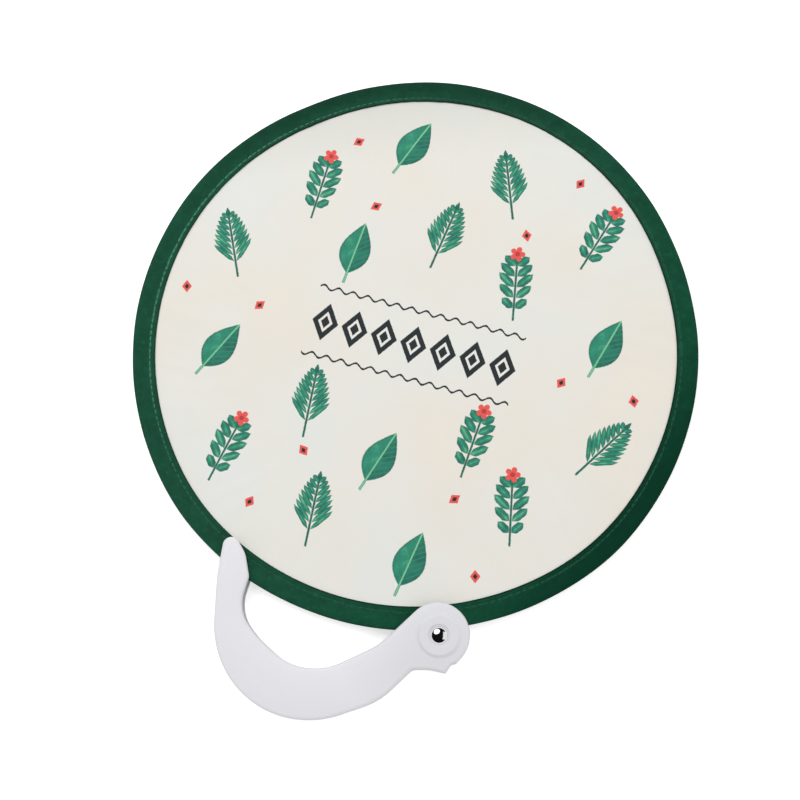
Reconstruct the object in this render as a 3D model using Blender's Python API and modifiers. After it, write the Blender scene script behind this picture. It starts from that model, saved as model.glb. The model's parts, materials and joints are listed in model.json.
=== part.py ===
# Pop-up disc hand fan: a cloth disc on a sprung hoop, and a crescent handle that turns on a rivet.
# Metres, +Z up. The fan lies on its back. The origin is below the middle of its outline, at the rest plane.

import math

import bmesh
import bpy
from mathutils import Matrix

# Disc: cloth, hoop and binding tape
DISC_RADIUS = 0.1200
RIM_SEGMENTS = 96
TAPE_WIDTH = 0.0093
TAPE_THICKNESS = 0.0003
SHEET_THICKNESS = 0.00015
SHEET_TUCK = 0.0065
HOOP_HEIGHT = 0.0018
HOOP_THICKNESS = 0.0005
HOOP_JOINT_GAP = 0.0006
FERRULE_WALL = 0.0002
FERRULE_LENGTH = 0.0100
FERRULE_ANGLE = math.radians(-5)
SEAM_INSET = 0.0025
THREAD_RADIUS = 0.00015
THREAD_SIDES = 6

# Rivet and the block that holds the rim to it
RIVET_OUTSIDE_RIM = 0.0028
RIVET_STEM_RADIUS = 0.0016
RIVET_POST_RADIUS = 0.0010
RIVET_DOME_RADIUS = 0.0034
RIVET_DOME_HEIGHT = 0.0016
RIVET_DOME_EDGE = 0.0002
RIVET_CAP_RADIUS = 0.0036
RIVET_CAP_THICKNESS = 0.0007
RIVET_OVERLAP = 0.0070
HUB_RADIUS = 0.0113
HEAD_MARGIN = 0.0013
HUB_PEG_RADIUS = 0.0011
HUB_PEG_LENGTH = 0.0015
HUB_PEG_PLACES = ((-0.0065, -0.0040), (0.0065, -0.0040))
WASHER_RADIUS = 0.0080
WASHER_THICKNESS = 0.0004

# Handle: two shells round a channel that is open on the finger side
CHANNEL_DEPTH = 0.0070
PLATE_THICKNESS = 0.0018
SHELL_WALL = 0.0016
SHELL_EDGE_ROUND = 0.0007
BOSS_RADIUS = 0.0084
BOSS_HEIGHT = 0.0006
BOSS_EDGE_ROUND = 0.0003
FRONT_RECESS_RADIUS = 0.0045
FRONT_RECESS_DEPTH = 0.0007
REAR_RECESS_RADIUS = 0.0042
REAR_RECESS_DEPTH = 0.0010
POST_RADIUS = 0.0030
PEG_RADIUS = 0.0013
PEG_LENGTH = 0.0024
POST_WALL_OVERLAP = 0.0006
POST_ANGLES = (math.radians(200), math.radians(240), math.radians(278))
TIP_NUB_RADIUS = 0.0024

# Handle outline: arcs joined by their common tangents, anticlockwise, from the rivet axis.
# Each is centre x, centre y, radius, and a hollow arc has a negative radius.
HEAD = (0.0, 0.0, HUB_RADIUS + HEAD_MARGIN)
THROAT = (-0.0377, 0.0241, -0.0280)
PALM_LOW = (-0.0493, 0.0161, -0.0246)
PALM_SIDE = (-0.0595, 0.0160, -0.0172)
PALM_TOP = (-0.0621, 0.0195, -0.0154)
TIP_BULGE = (-0.0796, 0.0313, 0.0049)
TIP = (-0.0813, 0.0434, 0.0039)
BACK_TOP = (-0.0647, 0.0287, 0.0242)
BACK_MAIN = (-0.0522, 0.0099, 0.0386)
BACK_LOW = (-0.0392, 0.0024, 0.0286)
NOTCH = (-0.0107, -0.0166, -0.0048)
SPUR = (0.0010, -0.0140, 0.0004)
SPUR_DIRECTION = math.radians(-13)
SPUR_OVERRUN = 0.0039
FINGER_SIDE = (HEAD, THROAT, PALM_LOW, PALM_SIDE, PALM_TOP, TIP_BULGE)
BACK_SIDE = (TIP, BACK_TOP, BACK_MAIN, BACK_LOW, NOTCH)
ARC_TOLERANCE = 0.00005

# Clearances
GAP = 0.0003
SLIP = 0.0002
SNUG = 0.00015
OVERCUT = 0.0020

# Heights and radii that follow
HANDLE_HEIGHT = CHANNEL_DEPTH + 2 * PLATE_THICKNESS
MIDDLE = HANDLE_HEIGHT / 2
RIVET_REACH = DISC_RADIUS + RIVET_OUTSIDE_RIM
TAPE_INNER_RADIUS = DISC_RADIUS - TAPE_WIDTH
FERRULE_SPREAD = SNUG + FERRULE_WALL
POCKET_RADIUS = DISC_RADIUS - TAPE_THICKNESS
POCKET_HALF = HOOP_HEIGHT / 2 + FERRULE_SPREAD + SNUG
HOOP_RADIUS = POCKET_RADIUS - SNUG - FERRULE_SPREAD
RIM_HALF = POCKET_HALF + TAPE_THICKNESS
HEM_HALF = SHEET_THICKNESS / 2 + SNUG + TAPE_THICKNESS
POCKET_START = HOOP_RADIUS - HOOP_THICKNESS - FERRULE_SPREAD - 2 * SNUG
POCKET_CORNER = SNUG
RIM_CORNER = POCKET_CORNER + TAPE_THICKNESS * (2 - math.sqrt(2))
HUB_TOP = CHANNEL_DEPTH / 2 - WASHER_THICKNESS - 2 * SLIP
BORE_RADIUS = RIVET_STEM_RADIUS + SLIP
ROUND_SEGMENTS = 48
SMALL_SEGMENTS = 32

# Colours, from the photograph, as red, green and blue out of 255
SHEET_WHITE = (230, 228, 222)
BINDING_GREEN = (22, 70, 48)
STITCH_GREEN = (60, 125, 90)
HANDLE_WHITE = (227, 227, 232)
HUB_WHITE = (215, 215, 218)
SPRING_STEEL = (120, 122, 125)
CHROME = (225, 226, 228)
WASHER_CLEAR = (205, 208, 210)


def clear_scene():
    for thing in list(bpy.data.objects):
        bpy.data.objects.remove(thing, do_unlink=True)


def new_collection(name):
    group = bpy.data.collections.new(name)
    bpy.context.scene.collection.children.link(group)
    return group


def linear(channel):
    share = channel / 255
    return share / 12.92 if share <= 0.04045 else ((share + 0.055) / 1.055) ** 2.4


def material(name, colour, roughness, metallic=0.0):
    made = bpy.data.materials.new(name)
    made.use_nodes = True
    shader = made.node_tree.nodes["Principled BSDF"]
    shader.inputs["Base Color"].default_value = (*(linear(c) for c in colour), 1.0)
    shader.inputs["Roughness"].default_value = roughness
    shader.inputs["Metallic"].default_value = metallic
    return made


def add_object(name, mesh, group, parent, place=(0.0, 0.0, 0.0)):
    thing = bpy.data.objects.new(name, mesh)
    group.objects.link(thing)
    thing.parent = parent
    thing.location = place
    return thing


def as_cutter(thing):
    thing.hide_render = True
    thing.display_type = "WIRE"
    return thing


def finish(thing, surface):
    thing.data.materials.append(surface)
    thing.data.shade_smooth()
    thing.data.set_sharp_from_angle(angle=math.radians(35))
    return thing


def turned(name, profile, segments, group, parent, place=(0.0, 0.0, 0.0), closed=True):
    # A profile of (radius, height) that runs down its outer side, turned about the object's Z axis.
    mesh = bpy.data.meshes.new(name)
    edges = [(i, i + 1) for i in range(len(profile) - 1)]
    if closed:
        edges.append((len(profile) - 1, 0))
    mesh.from_pydata([(radius, 0.0, height) for radius, height in profile], edges, [])
    thing = add_object(name, mesh, group, parent, place)
    screw = thing.modifiers.new("turn", "SCREW")
    screw.steps = segments
    screw.render_steps = segments
    screw.use_merge_vertices = True
    screw.merge_threshold = 1e-6
    return thing


def box_profile(inner, outer, low, high):
    return [(inner, high), (outer, high), (outer, low), (inner, low)]


def belt(circles):
    # The outline round the circles, along the tangents that join each to the next.
    normals = []
    for (x0, y0, r0), (x1, y1, r1) in zip(circles, circles[1:] + circles[:1]):
        lean = (r0 - r1) / math.hypot(x1 - x0, y1 - y0)
        normals.append(math.atan2(y1 - y0, x1 - x0) - math.acos(max(-1.0, min(1.0, lean))))
    points = []
    for (x, y, radius), start, end in zip(circles, normals[-1:] + normals[:-1], normals):
        side = math.copysign(1.0, radius)
        sweep = (end - start) * side % math.tau
        if sweep > 1.5 * math.pi:
            sweep -= math.tau
        widest = 2 * math.acos(max(0.0, 1 - ARC_TOLERANCE / abs(radius)))
        steps = max(1, math.ceil(abs(sweep) / widest))
        for i in range(steps + 1):
            angle = start + side * sweep * i / steps
            points.append((x + radius * math.cos(angle), y + radius * math.sin(angle)))
    return points


def prism(name, outline, low, high, group, parent):
    # A flat outline, filled and raised from one height to another.
    curve = bpy.data.curves.new(name, "CURVE")
    curve.dimensions = "2D"
    curve.fill_mode = "BOTH"
    curve.extrude = (high - low) / 2
    spline = curve.splines.new("POLY")
    spline.points.add(len(outline) - 1)
    for point, (x, y) in zip(spline.points, outline):
        point.co = (x, y, 0.0, 1.0)
    spline.use_cyclic_u = True
    drawn = bpy.data.objects.new(name + "_outline", curve)
    group.objects.link(drawn)
    bpy.context.view_layer.update()
    mesh = bpy.data.meshes.new_from_object(drawn.evaluated_get(bpy.context.evaluated_depsgraph_get()))
    bpy.data.objects.remove(drawn, do_unlink=True)
    solid = bmesh.new()
    solid.from_mesh(mesh)
    bmesh.ops.remove_doubles(solid, verts=solid.verts, dist=1e-6)
    bmesh.ops.dissolve_limit(solid, angle_limit=math.radians(1), verts=solid.verts, edges=solid.edges)
    bmesh.ops.translate(solid, verts=solid.verts, vec=(0.0, 0.0, (low + high) / 2))
    solid.to_mesh(mesh)
    solid.free()
    return add_object(name, mesh, group, parent)


def peg(name, radius, low, high, group, parent, place):
    solid = bmesh.new()
    bmesh.ops.create_cone(
        solid, cap_ends=True, segments=SMALL_SEGMENTS, radius1=radius, radius2=radius, depth=high - low,
        matrix=Matrix.Translation((0.0, 0.0, (low + high) / 2)),
    )
    mesh = bpy.data.meshes.new(name)
    solid.to_mesh(mesh)
    solid.free()
    return as_cutter(add_object(name, mesh, group, parent, (place[0], place[1], 0.0)))


def block(name, size, centre, turn, group, parent):
    solid = bmesh.new()
    shape = Matrix.Rotation(turn, 4, "Z") @ Matrix.Translation(centre) @ Matrix.Diagonal((*size, 1.0))
    bmesh.ops.create_cube(solid, size=1.0, matrix=shape)
    mesh = bpy.data.meshes.new(name)
    solid.to_mesh(mesh)
    solid.free()
    return as_cutter(add_object(name, mesh, group, parent))


def boolean(thing, operation, tool):
    step = thing.modifiers.new(tool.name, "BOOLEAN")
    step.operation = operation
    step.solver = "EXACT"
    step.object = tool


def make_sheet(parts, disc):
    radius = TAPE_INNER_RADIUS + SHEET_TUCK
    half = SHEET_THICKNESS / 2
    profile = [(0.0, half), (radius, half), (radius, -half), (0.0, -half)]
    sheet = turned("fan_sheet", profile, RIM_SEGMENTS, parts, disc, closed=False)
    finish(sheet, material("cloth_white", SHEET_WHITE, 0.75))


def make_binding(parts, disc):
    # The tape's outer face, from the hem round the rim, and then its inner face, back to the hem.
    upper = [
        (TAPE_INNER_RADIUS, HEM_HALF),
        (POCKET_START, RIM_HALF),
        (DISC_RADIUS - RIM_CORNER, RIM_HALF),
        (DISC_RADIUS, RIM_HALF - RIM_CORNER),
    ]
    inner = [
        (TAPE_INNER_RADIUS, HEM_HALF - TAPE_THICKNESS),
        (POCKET_START, POCKET_HALF),
        (POCKET_RADIUS - POCKET_CORNER, POCKET_HALF),
        (POCKET_RADIUS, POCKET_HALF - POCKET_CORNER),
    ]
    profile = upper + [(radius, -height) for radius, height in reversed(upper)]
    profile += [(radius, -height) for radius, height in inner] + list(reversed(inner))
    binding = turned("rim_binding", profile, RIM_SEGMENTS, parts, disc)
    finish(binding, material("tape_green", BINDING_GREEN, 0.6))


def make_seams(parts, disc):
    # Each thread lies on the tape's outer face, which slopes from the hem to the rim.
    stitch = material("stitch_green", STITCH_GREEN, 0.5)
    rise = (RIM_HALF - HEM_HALF) / (POCKET_START - TAPE_INNER_RADIUS)
    radius = TAPE_INNER_RADIUS + SEAM_INSET
    height = HEM_HALF + SEAM_INSET * rise + THREAD_RADIUS + SNUG
    for name, side in (("seam_needle_thread", 1), ("seam_bobbin_thread", -1)):
        profile = []
        for i in range(THREAD_SIDES):
            angle = -math.tau * i / THREAD_SIDES
            profile.append((
                radius + THREAD_RADIUS * math.cos(angle),
                side * height + THREAD_RADIUS * math.sin(angle),
            ))
        finish(turned(name, profile, RIM_SEGMENTS, parts, disc), stitch)


def make_hoop(parts, cutters, disc):
    steel = material("spring_steel", SPRING_STEEL, 0.35, 1.0)
    inner = HOOP_RADIUS - HOOP_THICKNESS
    half = HOOP_HEIGHT / 2
    hoop = turned("spring_hoop", box_profile(inner, HOOP_RADIUS, -half, half), RIM_SEGMENTS, parts, disc)
    joint = (HOOP_RADIUS - HOOP_THICKNESS / 2, 0.0, 0.0)
    reach = 4 * FERRULE_SPREAD
    ends = block(
        "hoop_ends", (HOOP_THICKNESS + reach, HOOP_JOINT_GAP, HOOP_HEIGHT + reach), joint, FERRULE_ANGLE,
        cutters, disc,
    )
    boolean(hoop, "DIFFERENCE", ends)
    finish(hoop, steel)

    spread = FERRULE_SPREAD
    sleeve = box_profile(inner - spread, HOOP_RADIUS + spread, -half - spread, half + spread)
    ferrule = turned("hoop_ferrule", sleeve, RIM_SEGMENTS, parts, disc)
    length = block(
        "ferrule_length", (HOOP_THICKNESS + 2 * reach, FERRULE_LENGTH, HOOP_HEIGHT + 2 * reach), joint,
        FERRULE_ANGLE, cutters, disc,
    )
    passage = box_profile(inner - SNUG, HOOP_RADIUS + SNUG, -half - SNUG, half + SNUG)
    bore = as_cutter(turned("ferrule_bore", passage, RIM_SEGMENTS, cutters, disc))
    boolean(ferrule, "INTERSECT", length)
    boolean(ferrule, "DIFFERENCE", bore)
    finish(ferrule, steel)


def make_hub(parts, cutters, disc, rivet_place):
    # Two halves that close over the rim, one with pegs and one with the holes for them.
    plastic = material("hub_white", HUB_WHITE, 0.45)
    slot = RIM_HALF + GAP
    groove_profile = box_profile(TAPE_INNER_RADIUS - OVERCUT, DISC_RADIUS + GAP, -slot, slot)
    groove = as_cutter(turned("hub_groove", groove_profile, RIM_SEGMENTS, cutters, disc))
    for name, side in (("hub_front_half", 1), ("hub_rear_half", -1)):
        low, high = sorted((side * GAP / 2, side * HUB_TOP))
        half = turned(
            name, box_profile(BORE_RADIUS, HUB_RADIUS, low, high), ROUND_SEGMENTS, parts, disc, rivet_place,
        )
        boolean(half, "DIFFERENCE", groove)
        for i, (x, y) in enumerate(HUB_PEG_PLACES):
            place = (rivet_place[0] + x, rivet_place[1] + y)
            if side > 0:
                tool = peg(f"hub_peg_{i}", HUB_PEG_RADIUS, -HUB_PEG_LENGTH, GAP, cutters, disc, place)
                boolean(half, "UNION", tool)
            else:
                depth = -HUB_PEG_LENGTH - GAP
                tool = peg(f"hub_hole_{i}", HUB_PEG_RADIUS + SLIP, depth, GAP, cutters, disc, place)
                boolean(half, "DIFFERENCE", tool)
        finish(half, plastic)


def make_washers(parts, pivot):
    clear = material("washer_clear", WASHER_CLEAR, 0.3)
    near = HUB_TOP + SLIP
    for name, side in (("front_washer", 1), ("rear_washer", -1)):
        low, high = sorted((MIDDLE + side * near, MIDDLE + side * (near + WASHER_THICKNESS)))
        profile = box_profile(BORE_RADIUS, WASHER_RADIUS, low, high)
        finish(turned(name, profile, ROUND_SEGMENTS, parts, pivot), clear)


def dome(radius, height, base, steps):
    # The curved side of a cap of the given height, from its top at the axis down to its edge.
    ball = (radius * radius + height * height) / (2 * height)
    reach = math.asin(min(1.0, radius / ball))
    return [
        (ball * math.sin(reach * i / steps), base + height - ball * (1 - math.cos(reach * i / steps)))
        for i in range(steps + 1)
    ]


def make_rivet(parts, pivot):
    chrome = material("chrome", CHROME, 0.08, 1.0)
    dome_base = HANDLE_HEIGHT + BOSS_HEIGHT - FRONT_RECESS_DEPTH + SLIP
    cap_base = REAR_RECESS_DEPTH - SLIP
    stem_top = dome_base - SLIP
    post_end = stem_top - RIVET_OVERLAP
    front = dome(RIVET_DOME_RADIUS, RIVET_DOME_HEIGHT - RIVET_DOME_EDGE, dome_base + RIVET_DOME_EDGE, 8)
    front += [(RIVET_DOME_RADIUS, dome_base), (RIVET_POST_RADIUS, dome_base)]
    front += [(RIVET_POST_RADIUS, post_end), (0.0, post_end)]
    finish(turned("rivet_front", front, SMALL_SEGMENTS, parts, pivot, closed=False), chrome)

    bore_end = post_end - SLIP
    bore = RIVET_POST_RADIUS + SNUG
    cap_face = cap_base - RIVET_CAP_THICKNESS
    rear = [(0.0, bore_end), (bore, bore_end), (bore, stem_top), (RIVET_STEM_RADIUS, stem_top)]
    rear += [(RIVET_STEM_RADIUS, cap_base), (RIVET_CAP_RADIUS, cap_base)]
    rear += [(RIVET_CAP_RADIUS, cap_face + RIVET_CAP_THICKNESS / 2)]
    rear += [(RIVET_CAP_RADIUS - RIVET_CAP_THICKNESS / 2, cap_face), (0.0, cap_face)]
    finish(turned("rivet_rear", rear, SMALL_SEGMENTS, parts, pivot, closed=False), chrome)


def make_handle(parts, cutters, pivot, disc):
    plastic = material("handle_white", HANDLE_WHITE, 0.35)
    outline = belt(list(FINGER_SIDE + BACK_SIDE + (SPUR,)))
    inside = [(x, y, radius + OVERCUT) for x, y, radius in FINGER_SIDE]
    inside += [(x, y, radius - SHELL_WALL) for x, y, radius in BACK_SIDE]
    # The channel runs on past the spur, one wall in from it, so that the wall ends there.
    along, across = math.cos(SPUR_DIRECTION), math.sin(SPUR_DIRECTION)
    inside.append((
        SPUR[0] + SPUR_OVERRUN * along - SHELL_WALL * across,
        SPUR[1] + SPUR_OVERRUN * across + SHELL_WALL * along,
        SPUR[2],
    ))
    plate_inner = MIDDLE + CHANNEL_DEPTH / 2

    channel = prism("channel", belt(inside), PLATE_THICKNESS, plate_inner, cutters, pivot)
    as_cutter(channel)
    # The rim lies between the plates at the tip, so no wall stands inside the disc's own circle.
    rim_profile = [(0.0, CHANNEL_DEPTH / 2), (DISC_RADIUS + GAP, CHANNEL_DEPTH / 2),
                   (DISC_RADIUS + GAP, -CHANNEL_DEPTH / 2), (0.0, -CHANNEL_DEPTH / 2)]
    rim_room = as_cutter(turned("rim_room", rim_profile, RIM_SEGMENTS, cutters, disc, closed=False))
    bore_profile = [(0.0, HANDLE_HEIGHT + OVERCUT), (BORE_RADIUS, HANDLE_HEIGHT + OVERCUT),
                    (BORE_RADIUS, -OVERCUT), (0.0, -OVERCUT)]
    bore = as_cutter(turned("handle_bore", bore_profile, SMALL_SEGMENTS, cutters, pivot, closed=False))
    wide = 4 * max(BACK_MAIN[2], HEAD[2])
    post_ring = BACK_MAIN[2] - SHELL_WALL - POST_RADIUS + POST_WALL_OVERLAP
    posts = [
        (BACK_MAIN[0] + post_ring * math.cos(angle), BACK_MAIN[1] + post_ring * math.sin(angle))
        for angle in POST_ANGLES
    ]

    for name, side in (("handle_front_shell", 1), ("handle_rear_shell", -1)):
        shell = prism(name, outline, 0.0, HANDLE_HEIGHT, parts, pivot)
        rounding = shell.modifiers.new("rounding", "BEVEL")
        rounding.width = SHELL_EDGE_ROUND
        rounding.segments = 2
        rounding.limit_method = "ANGLE"
        rounding.angle_limit = math.radians(60)
        far = MIDDLE - side * (wide / 2 - GAP / 2)
        other_half = block(
            name + "_parting", (2 * wide, 2 * wide, wide), (BACK_MAIN[0], 0.0, far), 0.0, cutters, pivot,
        )
        boolean(shell, "DIFFERENCE", other_half)
        boolean(shell, "DIFFERENCE", channel)
        boolean(shell, "DIFFERENCE", rim_room)
        plate = MIDDLE + side * (CHANNEL_DEPTH / 2 + GAP)
        nub_end = MIDDLE + side * (RIM_HALF + SLIP)
        low, high = sorted((plate, nub_end))
        boolean(shell, "UNION", peg(name + "_nub", TIP_NUB_RADIUS, low, high, cutters, pivot, TIP))
        low, high = sorted((plate, MIDDLE + side * GAP / 2))
        for i, place in enumerate(posts):
            boolean(shell, "UNION", peg(f"{name}_post_{i}", POST_RADIUS, low, high, cutters, pivot, place))
            if side > 0:
                tool = peg(f"peg_{i}", PEG_RADIUS, MIDDLE - PEG_LENGTH, high, cutters, pivot, place)
                boolean(shell, "UNION", tool)
            else:
                depth = MIDDLE - PEG_LENGTH - GAP
                tool = peg(f"socket_{i}", PEG_RADIUS + SLIP, depth, MIDDLE, cutters, pivot, place)
                boolean(shell, "DIFFERENCE", tool)
        if side > 0:
            add_boss(shell, cutters, pivot)
        else:
            recess = [(0.0, REAR_RECESS_DEPTH), (REAR_RECESS_RADIUS, REAR_RECESS_DEPTH),
                      (REAR_RECESS_RADIUS, -OVERCUT), (0.0, -OVERCUT)]
            hollow = turned("rear_recess", recess, SMALL_SEGMENTS, cutters, pivot, closed=False)
            boolean(shell, "DIFFERENCE", as_cutter(hollow))
        boolean(shell, "DIFFERENCE", bore)
        finish(shell, plastic)


def add_boss(shell, cutters, pivot):
    # A raised round pad with a shallow dish in it for the rivet's dome.
    top = HANDLE_HEIGHT + BOSS_HEIGHT
    base = HANDLE_HEIGHT - PLATE_THICKNESS / 2
    pad = [(0.0, top), (BOSS_RADIUS - BOSS_EDGE_ROUND, top), (BOSS_RADIUS, top - BOSS_EDGE_ROUND),
           (BOSS_RADIUS, base), (0.0, base)]
    boss = turned("boss", pad, ROUND_SEGMENTS, cutters, pivot, closed=False)
    boolean(shell, "UNION", as_cutter(boss))
    floor = top - FRONT_RECESS_DEPTH
    dish = [(0.0, top + OVERCUT), (FRONT_RECESS_RADIUS, top + OVERCUT),
            (FRONT_RECESS_RADIUS, floor), (0.0, floor)]
    hollow = turned("front_recess", dish, SMALL_SEGMENTS, cutters, pivot, closed=False)
    boolean(shell, "DIFFERENCE", as_cutter(hollow))


def main():
    clear_scene()
    parts = new_collection("disc_hand_fan")
    cutters = new_collection("cutters")

    lowest = min(y for x, y in belt(list(FINGER_SIDE + BACK_SIDE + (SPUR,)))) - RIVET_REACH
    disc = bpy.data.objects.new("disc_centre", None)
    disc.location = (0.0, -(DISC_RADIUS + lowest) / 2, MIDDLE)
    pivot = bpy.data.objects.new("handle_pivot", None)
    pivot.parent = disc
    pivot.location = (0.0, -RIVET_REACH, -MIDDLE)
    for empty in (disc, pivot):
        parts.objects.link(empty)

    make_sheet(parts, disc)
    make_binding(parts, disc)
    make_seams(parts, disc)
    make_hoop(parts, cutters, disc)
    make_hub(parts, cutters, disc, (0.0, -RIVET_REACH, 0.0))
    make_washers(parts, pivot)
    make_rivet(parts, pivot)
    make_handle(parts, cutters, pivot, disc)


main()
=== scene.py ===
# Pop-up disc hand fan, laid on its back on a pale floor. Metres, in the same frame as the solids.

import json
from math import acos, atan2, ceil, copysign, cos, dist, exp, hypot, pi, radians, sin, tau

import bmesh
import bpy
from mathutils import Matrix, Vector, kdtree, noise

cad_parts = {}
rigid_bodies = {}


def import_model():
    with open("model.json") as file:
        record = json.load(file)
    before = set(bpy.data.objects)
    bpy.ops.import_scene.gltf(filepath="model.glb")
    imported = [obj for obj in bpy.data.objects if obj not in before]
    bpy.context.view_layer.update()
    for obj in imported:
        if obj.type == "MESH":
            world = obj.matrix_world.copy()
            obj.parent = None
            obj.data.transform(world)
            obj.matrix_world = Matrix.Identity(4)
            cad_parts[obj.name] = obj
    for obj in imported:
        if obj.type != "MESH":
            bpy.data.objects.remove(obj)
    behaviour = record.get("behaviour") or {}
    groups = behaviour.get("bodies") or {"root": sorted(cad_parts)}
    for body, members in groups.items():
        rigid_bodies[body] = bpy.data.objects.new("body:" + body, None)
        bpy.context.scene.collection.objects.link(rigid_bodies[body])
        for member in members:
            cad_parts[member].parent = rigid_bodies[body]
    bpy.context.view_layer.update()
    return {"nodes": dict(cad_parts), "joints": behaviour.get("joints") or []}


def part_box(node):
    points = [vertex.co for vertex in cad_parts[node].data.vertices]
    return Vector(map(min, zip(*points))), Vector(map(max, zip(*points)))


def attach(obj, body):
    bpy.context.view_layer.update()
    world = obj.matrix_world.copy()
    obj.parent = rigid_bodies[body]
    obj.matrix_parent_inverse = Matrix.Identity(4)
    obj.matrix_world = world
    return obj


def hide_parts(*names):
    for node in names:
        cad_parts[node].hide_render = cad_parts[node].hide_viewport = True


for leftOver in list(bpy.data.objects):
    bpy.data.objects.remove(leftOver, do_unlink=True)

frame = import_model()
nodes = frame["nodes"]
rimLow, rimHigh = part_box("rim_binding")
discCentre = (rimLow + rimHigh) / 2
discRadius = (rimHigh.x - rimLow.x) / 2
rivetAxis = Vector(frame["joints"][0]["pos_m"])
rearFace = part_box("handle_rear_shell")[0].z
print("frame: disc radius", round(discRadius, 4), "centre", tuple(round(v, 5) for v in discCentre))


# Camera

view = {
    "aim": (-0.0076, -0.0078, 0.0053),
    "azimuth": 7.65,  # degrees from the handle's side, towards the right
    "elevation": 76.75,
    "roll": -12.8,
    "distance": 0.600,
    "lens": 64.2,
}


def addObject(name, data):
    made = bpy.data.objects.new(name, data)
    bpy.context.scene.collection.objects.link(made)
    return made


def makeCamera():
    camera = addObject("camera", bpy.data.cameras.new("camera"))
    camera.data.lens = view["lens"]
    camera.data.sensor_width = 36.0
    camera.data.clip_start = 0.01
    camera.matrix_world = (
        Matrix.Translation(view["aim"])
        @ Matrix.Rotation(radians(view["azimuth"]), 4, "Z")
        @ Matrix.Rotation(radians(90 - view["elevation"]), 4, "X")
        @ Matrix.Translation((0, 0, view["distance"]))
        @ Matrix.Rotation(radians(view["roll"]), 4, "Z")
    )
    bpy.context.scene.camera = camera


# Node helpers. A wire is a value in a node tree, and plain arithmetic on it adds math nodes.

def srgb(red, green, blue):
    def linear(channel):
        share = channel / 255
        return share / 12.92 if share <= 0.04045 else ((share + 0.055) / 1.055) ** 2.4
    return (linear(red), linear(green), linear(blue), 1.0)


def plug(value, socket):
    if isinstance(value, Wire):
        value.tree.links.new(value.socket, socket)
    else:
        socket.default_value = value


def addNode(tree, kind, inputs=(), **settings):
    # Settings are the node's own properties, and inputs fill its sockets by number or by name.
    node = tree.nodes.new("ShaderNode" + kind)
    for label, value in settings.items():
        setattr(node, label, value)
    for label, value in inputs.items() if isinstance(inputs, dict) else enumerate(inputs):
        plug(value, node.inputs[label])
    return node


def mathNode(operation, swapped=False):
    # A function that puts a math node behind its values.
    def follow(*values):
        tree = next(value.tree for value in values if isinstance(value, Wire))
        node = addNode(tree, "Math", values[::-1] if swapped else values, operation=operation)
        return Wire(node.outputs[0])
    return follow


class Wire:
    def __init__(self, socket):
        self.socket = socket
        self.tree = socket.id_data

    __add__ = __radd__ = mathNode("ADD")
    __mul__ = __rmul__ = mathNode("MULTIPLY")
    __sub__, __rsub__ = mathNode("SUBTRACT"), mathNode("SUBTRACT", swapped=True)
    __truediv__, __rtruediv__ = mathNode("DIVIDE"), mathNode("DIVIDE", swapped=True)
    __mod__, __pow__, __lt__ = mathNode("FLOORED_MODULO"), mathNode("POWER"), mathNode("LESS_THAN")
    __abs__, __round__ = mathNode("ABSOLUTE"), mathNode("ROUND")


sine, cosine, squareRoot, arcTangent = (mathNode(kind) for kind in ("SINE", "COSINE", "SQRT", "ARCTAN2"))
fraction, larger, signOf, matches = (mathNode(kind) for kind in ("FRACT", "MAXIMUM", "SIGN", "COMPARE"))


def splitVector(vector):
    node = addNode(vector.tree, "SeparateXYZ", (vector,))
    return [Wire(socket) for socket in node.outputs]


def joinVector(x, y):
    return Wire(addNode(x.tree, "CombineXYZ", (x, y)).outputs[0])


def ramp(value, fromLow, fromHigh, toLow=0.0, toHigh=1.0):
    return Wire(addNode(value.tree, "MapRange", (value, fromLow, fromHigh, toLow, toHigh)).outputs[0])


def mixColours(factor, first, second):
    return Wire(addNode(factor.tree, "Mix", {0: factor, 6: first, 7: second}, data_type="RGBA").outputs[2])


def noiseValue(vector, scale, detail=2.0, roughness=0.5):
    inputs = {"Vector": vector, "Scale": scale, "Detail": detail, "Roughness": roughness}
    return Wire(addNode(vector.tree, "TexNoise", inputs).outputs["Fac"])


def attribute(tree, name):
    return Wire(addNode(tree, "Attribute", attribute_name=name).outputs["Fac"])


def coordinates(tree, kind="Object"):
    return Wire(addNode(tree, "TexCoord").outputs[kind])


def newGroup(name, inputs, outputs):
    # The sockets called Vector and Place are vectors, and all others are plain values.
    tree = bpy.data.node_groups.new(name, "ShaderNodeTree")
    for side, labels in (("INPUT", inputs), ("OUTPUT", outputs)):
        for label in labels.split():
            kind = "NodeSocketVector" if label in ("Vector", "Place") else "NodeSocketFloat"
            tree.interface.new_socket(label, in_out=side, socket_type=kind)
    given = tree.nodes.new("NodeGroupInput").outputs
    return tree, [Wire(given[label]) for label in inputs.split()], tree.nodes.new("NodeGroupOutput").inputs


def useGroup(group, **values):
    node = addNode(values["Vector"].tree, "Group", values, node_tree=group)
    return {socket.name: Wire(socket) for socket in node.outputs}


def newMaterial(name, colour, roughness, settings=()):
    made = bpy.data.materials.new(name)
    made.use_nodes = True
    surface = made.node_tree.nodes["Principled BSDF"].inputs
    for label, value in {"Base Color": colour, "Roughness": roughness, **dict(settings)}.items():
        surface[label].default_value = value
    return made, made.node_tree, surface


def bump(surface, height, distance, strength):
    node = addNode(height.tree, "Bump", {"Height": height, "Distance": distance, "Strength": strength})
    plug(Wire(node.outputs[0]), surface["Normal"])


def towards(x, y, turn):
    return x * cos(turn) + y * sin(turn)


# Shared surface effects

def makeWeaveGroup():
    # Over and under threads: hills where the one crosses over, and dips between.
    tree, (vector, pitch), result = newGroup("plainWeave", "Vector Pitch", "Height")
    x, y = splitVector(vector)[:2]
    step = pi / pitch
    plug(sine(x * step) * sine(y * step) * 0.5 + 0.5, result["Height"])
    return tree


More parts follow.
